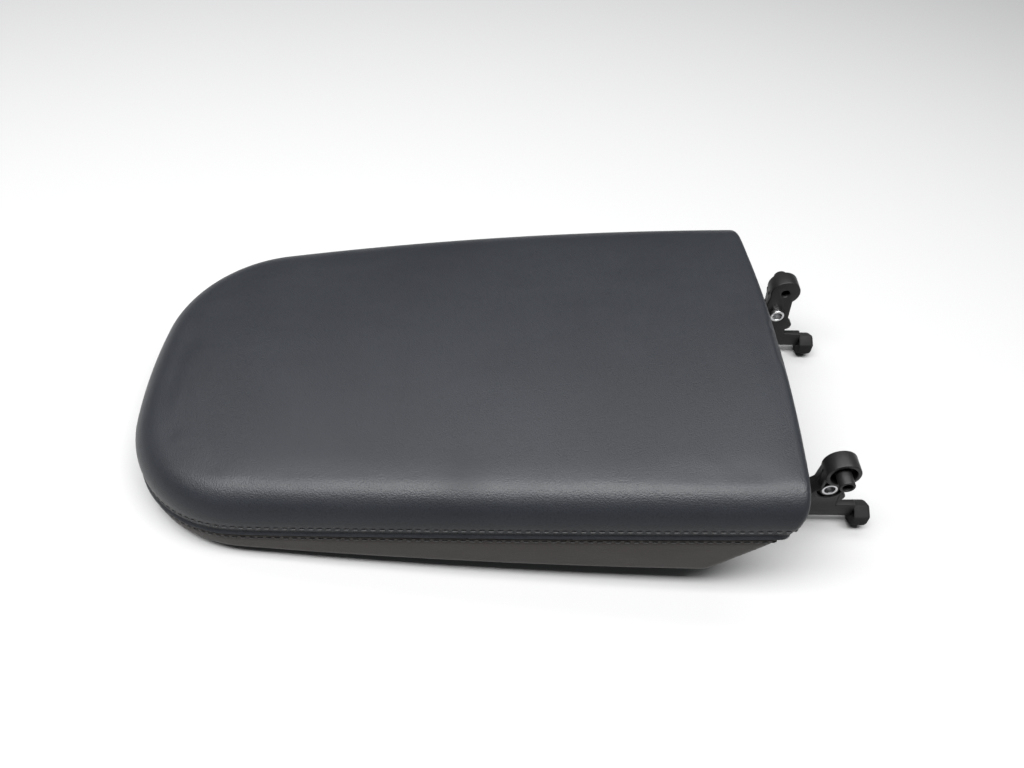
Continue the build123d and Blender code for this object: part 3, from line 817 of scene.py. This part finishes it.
def stitch_row(name, ring, normals, settings):
    """Places stitches at an even pitch along a closed ring of points."""
    closed = np.vstack([ring, ring[:1]])
    facing = np.vstack([normals, normals[:1]])
    run = np.concatenate([[0], np.cumsum(np.linalg.norm(np.diff(closed, axis=0), axis=1))])
    count = round(run[-1] / settings.pitch)
    stitch = one_stitch(settings)
    copies = []
    for number in range(count):
        middle = (number + 0.5) * run[-1] / count
        spot, behind, ahead, normal = (
            Vector([np.interp(place, run, values[:, axis]) for axis in range(3)])
            for place, values in (
                (middle, closed), (middle - MM, closed), (min(middle + MM, run[-1]), closed), (middle, facing)
            )
        )
        along = (ahead - behind).normalized()
        across = normal.cross(along).normalized()
        outward = along.cross(across)
        matrix = Matrix((along, across, outward)).transposed().to_4x4()
        matrix.translation = spot
        copy = bpy.data.objects.new(name, stitch.data.copy())
        copy.data.transform(matrix)
        bpy.context.scene.collection.objects.link(copy)
        copies.append(copy)
    bpy.data.objects.remove(stitch)
    make_active(copies[0])
    for copy in copies:
        copy.select_set(True)
    bpy.ops.object.join()
    row = bpy.context.view_layer.objects.active
    row.name = name
    bpy.ops.object.shade_smooth()
    return row


# Fittings

class ARMREST_OT_hinge_arms(bpy.types.Operator):
    """Builds the moulded hinge arms with their steel bushes and rubber stops"""
    bl_idname = "armrest.hinge_arms"
    bl_label = "Hinge arms"

    def execute(self, context):
        settings = context.scene.armrest_fittings
        plastic = moulded_plastic("Arm nylon", settings.plastic_colour, 0.42, 1500.0)
        steel = plated_steel("Bush steel", settings.steel_colour)
        rubber = moulded_rubber("Stop rubber", settings.rubber_colour)
        for side in ("left", "right"):
            for kind, width, slot, finish in (
                ("hinge_arm", settings.moulded_edge, "arm_plastic", plastic),
                ("link_bush", settings.metal_edge, "plated_steel", steel),
                ("stop_bumper", settings.rubber_edge, "stop_rubber", rubber),
            ):
                node = f"{kind}_{side}"
                piece = rounded_copy(f"{node}_piece", node, width, 3)
                dress(piece, LID_BODY, slot, finish, node)
        return {"FINISHED"}


def head_places(piece):
    """The middle of each screw's head, at its lowest face."""
    mesh = bmesh.new()
    mesh.from_mesh(piece.data)
    places = []
    for screw in linked_parts(mesh.verts, lambda vertex: [edge.other_vert(vertex) for edge in vertex.link_edges]):
        across = [[vertex.co[axis] for vertex in screw] for axis in range(3)]
        middle = [(min(values) + max(values)) / 2 for values in across[:2]]
        places.append((*middle, min(across[2])))
    mesh.free()
    return sorted(places)


def cross_cutter(places, reach, width, depth):
    """Crossed bars at these places, for cutting driver recesses."""
    bars = []
    for number, place in enumerate(places):
        for quarter in (0, 90):
            bpy.ops.object.select_all(action="DESELECT")
            bpy.ops.mesh.primitive_cube_add(
                size=1, location=place, rotation=(0, 0, math.radians(quarter + 37 * number)),
                scale=(2 * reach, width, 2 * depth),
            )
            bars.append(bpy.context.view_layer.objects.active)
    for bar in bars:
        bar.select_set(True)
    bpy.ops.object.join()
    cutter = bpy.context.view_layer.objects.active
    bpy.ops.object.transform_apply(location=True, rotation=True, scale=True)
    return cutter


def driven_screws(node, reach, width, depth, edge):
    """A copy of a node's screws with a cross recess in each head."""
    piece = rounded_copy(f"{node}_piece", node, edge)
    cutter = cross_cutter(head_places(piece), reach, width, depth)
    apply_modifier(piece, "BOOLEAN", object=cutter, operation="DIFFERENCE", solver="EXACT", use_self=True)
    bpy.data.objects.remove(cutter)
    make_active(piece)
    bpy.ops.object.shade_smooth_by_angle(angle=SMOOTH_ANGLE)
    return piece


class ARMREST_OT_underside(bpy.types.Operator):
    """Finishes the closing panel, shell, foam, buffers and screws"""
    bl_idname = "armrest.underside"
    bl_label = "Underside"

    def execute(self, context):
        settings = context.scene.armrest_fittings
        liner = moulded_plastic("Liner plastic", settings.liner_colour, 0.55, 900.0)
        rubber = moulded_rubber("Buffer rubber", settings.rubber_colour)
        steel = plated_steel("Screw steel", settings.steel_colour)
        foam = open_foam("Pad foam", settings.foam_colour)
        finish_node("liner_panel", liner)
        finish_node("lid_shell", liner)
        finish_node("foam_pad", foam)
        for node in ("front_buffer_left", "front_buffer_right"):
            finish_node(node, rubber)
        for node, recess in (
            ("arm_screws_left", ARM_RECESS), ("arm_screws_right", ARM_RECESS), ("liner_screws", LINER_RECESS),
        ):
            screws = driven_screws(node, *recess, SCREW_EDGE)
            dress(screws, LID_BODY, "plated_steel", steel, node)
        return {"FINISHED"}


class ARMREST_OT_catch(bpy.types.Operator):
    """Builds the catch: lever, pin and spring"""
    bl_idname = "armrest.catch"
    bl_label = "Catch"

    def execute(self, context):
        settings = context.scene.armrest_fittings
        plastic = moulded_plastic("Lever nylon", settings.plastic_colour, 0.4, 1500.0)
        steel = plated_steel("Pin steel", settings.steel_colour)
        lever = rounded_copy("latch_lever_piece", "latch_lever", settings.metal_edge)
        dress(lever, LATCH_BODY, "arm_plastic", plastic, "latch_lever")
        finish_node("latch_pin", steel)
        spring = joined_copy("latch_spring_piece", "latch_spring")
        apply_modifier(spring, "DECIMATE", ratio=settings.spring_share)
        bpy.ops.object.shade_smooth()
        spring.data.materials.append(steel)
        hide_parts("latch_spring")
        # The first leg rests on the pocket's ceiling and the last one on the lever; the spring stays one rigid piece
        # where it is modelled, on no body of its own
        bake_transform(spring)
        return {"FINISHED"}


# Stage

def resting_slope():
    """Slope and one point of the plane that the stops and the front buffers stand on."""
    stops = np.vstack([points_of(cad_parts[f"stop_bumper_{side}"].data) for side in ("left", "right")])
    buffers = np.vstack([points_of(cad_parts[f"front_buffer_{side}"].data) for side in ("left", "right")])
    foot = buffers[np.argmin(buffers[:, 2] * 100 + buffers[:, 0])]
    slopes = (stops[:, 2] - foot[2]) / (stops[:, 0] - foot[0])
    return slopes.min(), foot


def soft_light(name, place, target, size, power):
    """A rectangular soft light that faces a point."""
    data = bpy.data.lights.new(name, "AREA")
    data.shape = "RECTANGLE"
    data.size, data.size_y = size
    data.energy = power
    light = bpy.data.objects.new(name, data)
    bpy.context.scene.collection.objects.link(light)
    light.location = place
    light.rotation_euler = (Vector(target) - Vector(place)).to_track_quat("-Z", "Y").to_euler()


class ARMREST_OT_stage(bpy.types.Operator):
    """Builds the pale floor, the soft lights and the camera"""
    bl_idname = "armrest.stage"
    bl_label = "Stage"

    def execute(self, context):
        settings = context.scene.armrest_stage
        slope, foot = resting_slope()
        bpy.ops.object.select_all(action="DESELECT")
        bpy.ops.mesh.primitive_plane_add(
            size=settings.floor_size, location=(foot[0], 0, foot[2]), rotation=(0, -math.atan(slope), 0)
        )
        floor = context.view_layer.objects.active
        floor.name = "stage_floor"
        bpy.ops.object.transform_apply(location=True, rotation=True)
        floor.data.materials.append(stage_paper("Floor paper", settings.floor_colour))
        middle = (cad_box[0] + cad_box[1]) / 2
        light_size = (settings.light_length, settings.light_width)
        for name, behind, power in (
            ("Overhead", settings.key_behind, settings.key_power),
            ("Behind", settings.back_behind, settings.back_power),
        ):
            spot = middle + Vector((settings.light_forward, behind, 0))
            soft_light(name, spot + Vector((0, 0, settings.light_height)), spot, light_size, power)
        world = context.scene.world or bpy.data.worlds.new("World")
        context.scene.world = world
        world.use_nodes = True
        backdrop = world.node_tree.nodes["Background"]
        backdrop.inputs["Color"].default_value = (0.93, 0.96, 1.0, 1.0)
        backdrop.inputs["Strength"].default_value = settings.sky
        context.scene.view_settings.view_transform = "Standard"
        camera_data = bpy.data.cameras.new("Camera")
        camera_data.sensor_fit = "HORIZONTAL"
        camera_data.sensor_width = 36.0
        camera_data.lens = settings.camera_lens
        camera_data.clip_start = 0.01
        camera = bpy.data.objects.new("Camera", camera_data)
        context.scene.collection.objects.link(camera)
        camera.location = settings.camera_place
        aim = (Vector(settings.camera_target) - Vector(settings.camera_place)).to_track_quat("-Z", "Y")
        camera.rotation_mode = "QUATERNION"
        camera.rotation_quaternion = aim @ Quaternion((0, 0, 1), settings.camera_roll)
        context.scene.camera = camera
        return {"FINISHED"}


class ARMREST_PT_panel(bpy.types.Panel):
    """Lists the steps that dress the armrest"""
    bl_idname = "ARMREST_PT_panel"
    bl_label = "Console armrest"
    bl_space_type = "VIEW_3D"
    bl_region_type = "UI"
    bl_category = "Armrest"

    def draw(self, context):
        for operator in OPERATORS:
            self.layout.operator(operator.bl_idname)


SETTINGS = {
    "armrest_upholstery": UpholsterySettings,
    "armrest_fittings": FittingSettings,
    "armrest_stage": StageSettings,
}
OPERATORS = (
    ARMREST_OT_cover,
    ARMREST_OT_hinge_arms,
    ARMREST_OT_underside,
    ARMREST_OT_catch,
    ARMREST_OT_stage,
)


def register():
    """Registers the settings, operators and panel."""
    for name, group in SETTINGS.items():
        bpy.utils.register_class(group)
        setattr(bpy.types.Scene, name, bpy.props.PointerProperty(type=group))
    for made in (*OPERATORS, ARMREST_PT_panel):
        bpy.utils.register_class(made)


def unregister():
    """Removes the panel, operators and settings."""
    for made in reversed((*OPERATORS, ARMREST_PT_panel)):
        bpy.utils.unregister_class(made)
    for name, group in SETTINGS.items():
        delattr(bpy.types.Scene, name)
        bpy.utils.unregister_class(group)


def main():
    """Registers the add-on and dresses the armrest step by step."""
    register()
    bpy.ops.armrest.cover()
    bpy.ops.armrest.hinge_arms()
    bpy.ops.armrest.underside()
    bpy.ops.armrest.catch()
    bpy.ops.armrest.stage()


if __name__ == "__main__":
    main()
